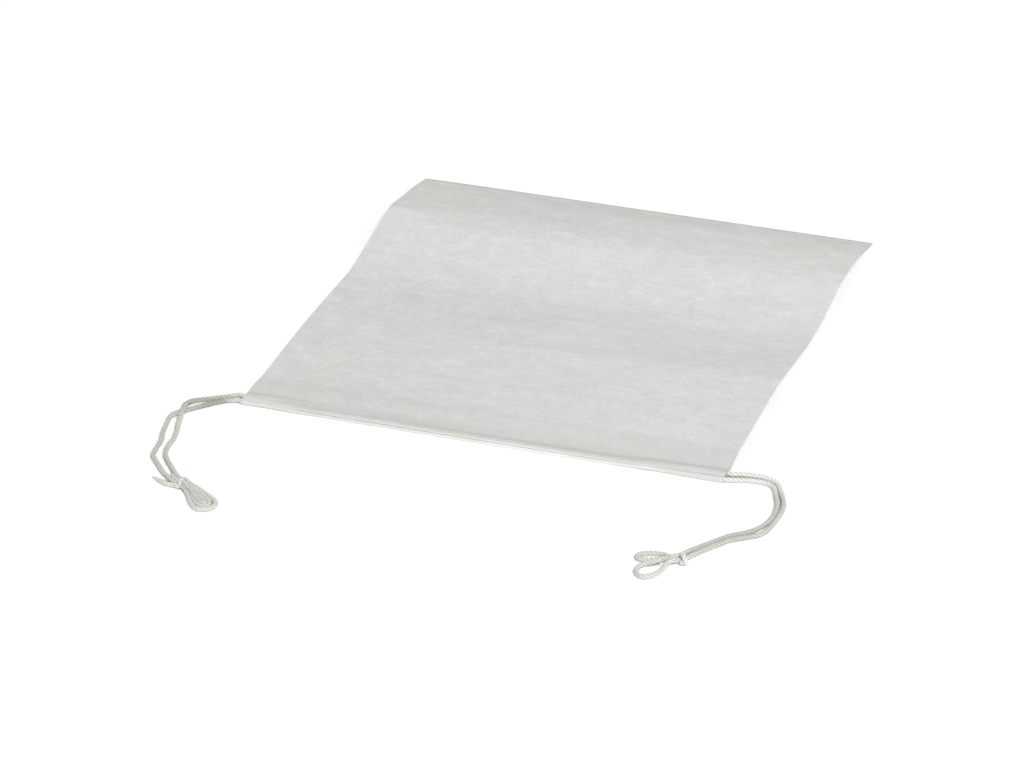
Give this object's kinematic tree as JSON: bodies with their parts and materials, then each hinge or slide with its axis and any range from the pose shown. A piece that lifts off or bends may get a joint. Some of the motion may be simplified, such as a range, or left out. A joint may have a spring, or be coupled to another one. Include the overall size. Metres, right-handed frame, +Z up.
{
  "type": "empty drawstring tea bag",
  "caption": "Flat empty filter-paper pouch for loose tea, with a cotton drawstring in a hem tunnel on each side of the mouth, knotted at both ends.",
  "frame": {"origin": "on the surface that the bag lies on, under the middle of the pouch's outline", "axes": "+X along the hem, +Y from the mouth's hem to the folded bottom, +Z up"},
  "size_m": [0.1136, 0.1386, 0.0038],
  "materials": {
    "filter_paper": "matt, thin and fibrous",
    "cotton_cord": "matt, twisted cotton"
  },
  "bodies": {
    "root": {"filter_pouch": "filter_paper", "front_string": "cotton_cord", "back_string": "cotton_cord", "left_knot": "cotton_cord", "left_hank": "cotton_cord", "right_knot": "cotton_cord", "right_upper_loop": "cotton_cord", "right_lower_loop": "cotton_cord"}
  },
  "joints": []
}
